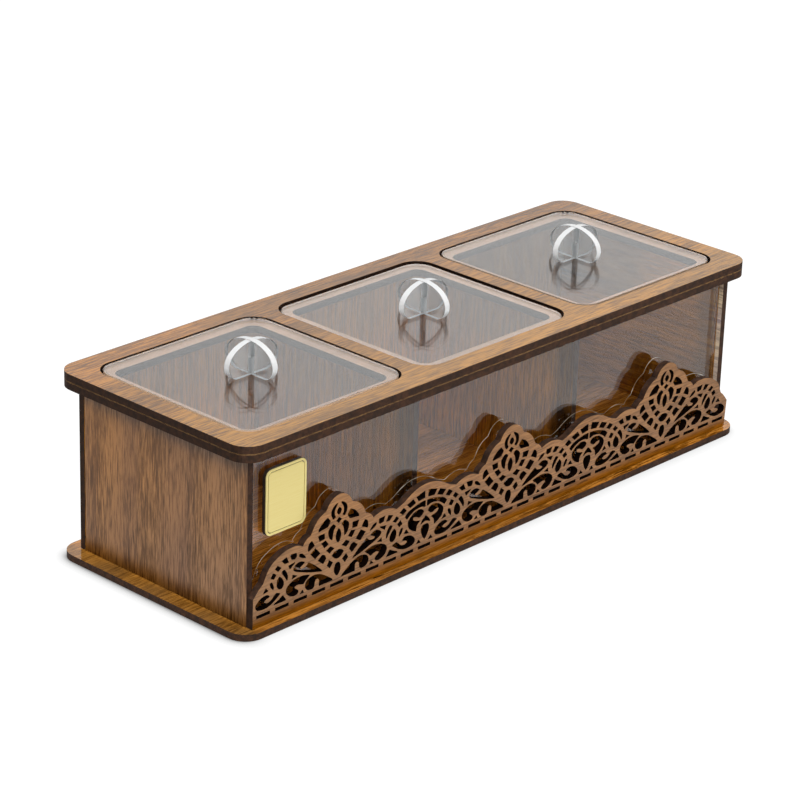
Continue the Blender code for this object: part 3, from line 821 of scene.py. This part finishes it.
def make_lace():
    """The fretwork, with burnt opening walls that painted shade darkens further. It leans forward a
    little, more so to the right.
    """
    openings = lace_openings()
    edge = lace_edge()
    mesh = plate_mesh("lace", [edge, *openings], lace_thickness)
    inside = kdtree.KDTree(sum(len(opening) for opening in openings))
    outside = kdtree.KDTree(len(edge))
    for finder, outlines in ((inside, openings), (outside, [edge])):
        points = [point for outline in outlines for point in outline]
        for index, (x, y) in enumerate(points):
            finder.insert((x, y, 0), index)
        finder.balance()
    for facet in mesh.polygons:
        corner = mesh.vertices[facet.vertices[0]].co
        spot = (corner.x, corner.y, 0)
        is_wall = abs(facet.normal.z) < WALL_SLOPE
        facet.material_index = int(is_wall and inside.find(spot)[2] < outside.find(spot)[2])
    mesh.transform(upright(lace_shift, lace_high.y, lace_low.z))
    for vertex in mesh.vertices:
        end_share = vertex.co.x / (body_length / 2)
        height_share = (vertex.co.z - lace_low.z) / lace_height
        vertex.co.y -= (lace_lean + lace_lean_change * end_share) * height_share
        vertex.co.z = lace_low.z + (vertex.co.z - lace_low.z) * LACE_STRETCH_SHARE
    mesh.materials.append(board_material(
        "walnut_lace", grain="x", face="y", seed=47.0, light=LACE_LIGHT, dark=LACE_DARK, strength=0.75,
        roughness=0.15, painted_tints=(lace_upper_painted_light, lace_left_painted_shade), foot=lace_foot_painted_shade))
    mesh.materials.append(char_and_shade_material("burnt_and_shaded_openings"))
    add_object("lace", mesh, "box", "walnut_laminate", "lace_panel")


SCORE_LIGHT = (0.80, 0.70, 0.56)
SCORE_DARK = (0.24, 0.18, 0.12)
SCORE_NOISE = (150.0, 2.0, 0.6)
SCORE_RANGE = (0.42, 0.66)
SCORE_ROUGHNESS = 0.5


def make_score():
    """The fine line scored on the front of the window round the fretwork's place."""
    edge = lace_edge()
    outlines = [widened(edge, score_width / 2), widened(edge, -score_width / 2)]
    mesh = plate_mesh("window_score_line", outlines, score_thickness)
    stretch = Matrix.Scale(LACE_STRETCH_SHARE, 4, (0, 1, 0))
    mesh.transform(upright(lace_shift, window_low.y - score_gap, lace_low.z) @ stretch)
    material, tree, shader = new_material("score_line")
    sparkle = ramp(tree, even_noise(tree, object_point(tree), 0, *SCORE_NOISE), *SCORE_RANGE)
    tree.links.new(mix(tree, sparkle, SCORE_DARK, SCORE_LIGHT), shader.inputs["Base Color"])
    shader.inputs["Roughness"].default_value = SCORE_ROUGHNESS
    mesh.materials.append(material)
    add_object("window_score_line", mesh, "box", "clear_acrylic")


def make_seam():
    """The glue film that shows as a thin golden line between the two top boards."""
    width = upper_high.x - upper_low.x
    depth = upper_high.y - upper_low.y
    edge = rounded_rectangle(width, depth, top_radius)
    inner = rounded_rectangle(width - 2 * seam_width, depth - 2 * seam_width, top_radius - seam_width)
    mesh = plate_mesh("top_seam_film", [edge, inner], seam_thickness)
    mesh.transform(Matrix.Translation((0, 0, (lower_high.z + upper_low.z - seam_thickness) / 2)))
    films = (upper_low.z, lower_high.z)
    mesh.materials.append(board_material("seam_film", grain="x", face="z", seed=53.0, films=films))
    add_object("top_seam_film", mesh, "box", "walnut_laminate")


GOLD_LIGHT = (0.95, 0.80, 0.32)
GOLD_DARK = (0.92, 0.76, 0.28)
GOLD_STRETCH = (90.0, 1500.0, 3600.0)
GOLD_OFFSET = (7, 0, 0)
GOLD_DETAIL = 2.0
GOLD_UNEVENNESS = 0.6
GOLD_RANGE = (0.3, 0.7)
GOLD_ROUGHNESS = 0.3
GOLD_STROKE_ROUGHNESS = 0.05
GOLD_METALLIC = 0.2
CORE_DARK = (0.022, 0.010, 0.004)
CORE_ROUGHNESS = 0.6


def gold_material():
    """Brushed gold acrylic: fine level strokes and a soft shine."""
    material, tree, shader = new_material("gold_face")
    strokes = noise(tree, object_point(tree), GOLD_STRETCH, GOLD_OFFSET, GOLD_DETAIL, GOLD_UNEVENNESS)
    strokes = ramp(tree, strokes, *GOLD_RANGE)
    tree.links.new(mix(tree, strokes, GOLD_DARK, GOLD_LIGHT), shader.inputs["Base Color"])
    rough = calc(tree, "ADD", GOLD_ROUGHNESS, calc(tree, "MULTIPLY", strokes, GOLD_STROKE_ROUGHNESS))
    tree.links.new(rough, shader.inputs["Roughness"])
    shader.inputs["Metallic"].default_value = GOLD_METALLIC
    return material


def core_material():
    material, tree, shader = new_material("plaque_core")
    shader.inputs["Base Color"].default_value = (*CORE_DARK, 1)
    shader.inputs["Roughness"].default_value = CORE_ROUGHNESS
    return material


def make_plaque():
    """A dark little plate with a thin gold face, which a plain border groove divides."""
    width = plaque_high.x - plaque_low.x
    height = plaque_high.z - plaque_low.z
    depth = plaque_high.y - plaque_low.y
    middle = (plaque_low + plaque_high) / 2
    gold = gold_material()

    def outline(inset):
        return rounded_rectangle(width - 2 * inset, height - 2 * inset, plaque_radius - inset)

    def plate(name, outlines, thickness, front, material):
        mesh = plate_mesh(name, outlines, thickness)
        mesh.transform(upright(middle.x, front + thickness, middle.z))
        mesh.materials.append(material)
        return add_object(name, mesh, "box", "gold_acrylic")

    core = plate("plaque_core", [outline(0)], depth - gold_thickness, plaque_low.y + gold_thickness,
                 core_material())
    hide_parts("plaque")
    border = [outline(gold_inset), outline(groove_inset)]
    plate("plaque_border", border, gold_thickness, plaque_low.y, gold)
    plate("plaque_face", [outline(groove_inset + groove_width)], gold_thickness, plaque_low.y, gold)


make_lace()
make_score()
make_seam()
make_plaque()


# Stage: floor, light and camera

floor_half = 3.0
FLOOR_GREY = (0.2, 0.2, 0.2)
FLOOR_ROUGHNESS = 0.9
FLOOR_GLOW = 1.26
FLOOR_DARKEST = 0.05

# The contact shadow, which is deeper at the box's left end
shadow_reach = 14 * MM
left_shadow_reach = 12 * MM
SHADOW_DEPTH = 0.76
LEFT_SHADOW_DEPTH = 2.0

# How much of the glow each kind of ray meets, and where the mirrored share fades to the right
CAMERA_SHARE = 0.85
TRANSMISSION_SHARE = 0.5
MIRROR_SHARE = 0.60
FAR_MIRROR_SHARE = 0.41
mirror_fade = (-100 * MM, 300 * MM)


def make_floor():
    """A white floor that keeps the box's contact shadow."""
    corners = [(-floor_half, -floor_half, 0), (floor_half, -floor_half, 0), (floor_half, floor_half, 0),
               (-floor_half, floor_half, 0)]
    mesh = bpy.data.meshes.new("floor")
    mesh.from_pydata(corners, [], [(0, 1, 2, 3)])
    floor = bpy.data.objects.new("floor", mesh)
    bpy.context.scene.collection.objects.link(floor)
    material, tree, shader = new_material("white_floor")
    shader.inputs["Base Color"].default_value = (*FLOOR_GREY, 1)
    shader.inputs["Roughness"].default_value = FLOOR_ROUGHNESS
    shader.inputs["Specular IOR Level"].default_value = 0.0
    place = split(tree, object_point(tree))
    near = add(tree, "ShaderNodeAmbientOcclusion", {"Distance": shadow_reach}).outputs["AO"]
    left = ramp(tree, place[0], base_low.x + left_shadow_reach, base_low.x)
    depth = between(tree, left, SHADOW_DEPTH, LEFT_SHADOW_DEPTH)
    shade = calc(tree, "MULTIPLY", rest_of(tree, near), depth)
    level = calc(tree, "MAXIMUM", calc(tree, "SUBTRACT", FLOOR_GLOW, shade), FLOOR_DARKEST)
    glow = add(tree, "ShaderNodeEmission", {"Color": (*WHITE, 1), "Strength": level})
    mirrored = between(tree, ramp(tree, place[0], *mirror_fade), MIRROR_SHARE, FAR_MIRROR_SHARE)
    ray = add(tree, "ShaderNodeLightPath")
    share = 0.0
    for kind, part in (("Is Camera Ray", CAMERA_SHARE), ("Is Glossy Ray", mirrored),
                       ("Is Transmission Ray", TRANSMISSION_SHARE)):
        share = calc(tree, "ADD", share, calc(tree, "MULTIPLY", ray.outputs[kind], part))
    surface = add(tree, "ShaderNodeMixShader", {0: share, 1: shader.outputs[0], 2: glow.outputs[0]})
    tree.links.new(surface.outputs[0], tree.nodes["Material Output"].inputs["Surface"])
    mesh.materials.append(material)


# The sky brightens upwards, with a broad key light from the front left
LOW_LEVEL = 0.24
HIGH_LEVEL = 0.72
HIGH_RANGE = (0.0, 0.85)
KEY_DIRECTION = (-0.46, -0.67, 0.59)
KEY_RANGE = (0.82, 0.96)
KEY_LEVEL = 3.7
LOW_LEVEL_THROUGH = 0.45
HIGH_LEVEL_THROUGH = 1.25
GLOSSY_LEVEL = 1.11
CAMERA_LEVEL = 1.0


def make_world():
    world = bpy.data.worlds.new("studio")
    bpy.context.scene.world = world
    world.use_nodes = True
    tree = world.node_tree
    background = tree.nodes["Background"]
    direction = add(tree, "ShaderNodeTexCoord").outputs["Generated"]
    high = ramp(tree, split(tree, direction)[2], *HIGH_RANGE)
    toward = add(tree, "ShaderNodeVectorMath", {0: direction, 1: KEY_DIRECTION}, operation="DOT_PRODUCT")
    key = calc(tree, "MULTIPLY", ramp(tree, toward.outputs["Value"], *KEY_RANGE), KEY_LEVEL)
    level = calc(tree, "ADD", between(tree, high, LOW_LEVEL, HIGH_LEVEL), key)
    through = between(tree, high, LOW_LEVEL_THROUGH, HIGH_LEVEL_THROUGH)
    ray = add(tree, "ShaderNodeLightPath")
    for kind, seen in (("Is Transmission Ray", through), ("Is Glossy Ray", GLOSSY_LEVEL),
                       ("Is Camera Ray", CAMERA_LEVEL)):
        level = between(tree, ray.outputs[kind], level, seen)
    background.inputs["Color"].default_value = (*WHITE, 1)
    tree.links.new(level, background.inputs["Strength"])


CAMERA_PLACE_MM = (-866.694, -797.407, 538.348)
CAMERA_RIGHT = (0.690314, -0.722947, 0.028546)
CAMERA_UP = (0.263628, 0.288078, 0.920604)
CAMERA_BACK = (-0.673771, -0.62798, 0.389453)
LENS_MM = 139.064
SENSOR_WIDTH_MM = 36.0
clip_end = 20.0


def make_camera():
    data = bpy.data.cameras.new("camera")
    data.sensor_width = SENSOR_WIDTH_MM
    data.lens = LENS_MM
    data.clip_end = clip_end
    camera = bpy.data.objects.new("camera", data)
    bpy.context.scene.collection.objects.link(camera)
    axes = Matrix((CAMERA_RIGHT, CAMERA_UP, CAMERA_BACK)).transposed()
    camera.matrix_world = Matrix.Translation(Vector(CAMERA_PLACE_MM) * MM) @ axes.to_4x4()
    bpy.context.scene.camera = camera


make_floor()
make_world()
make_camera()
bpy.context.scene.view_settings.view_transform = "Standard"
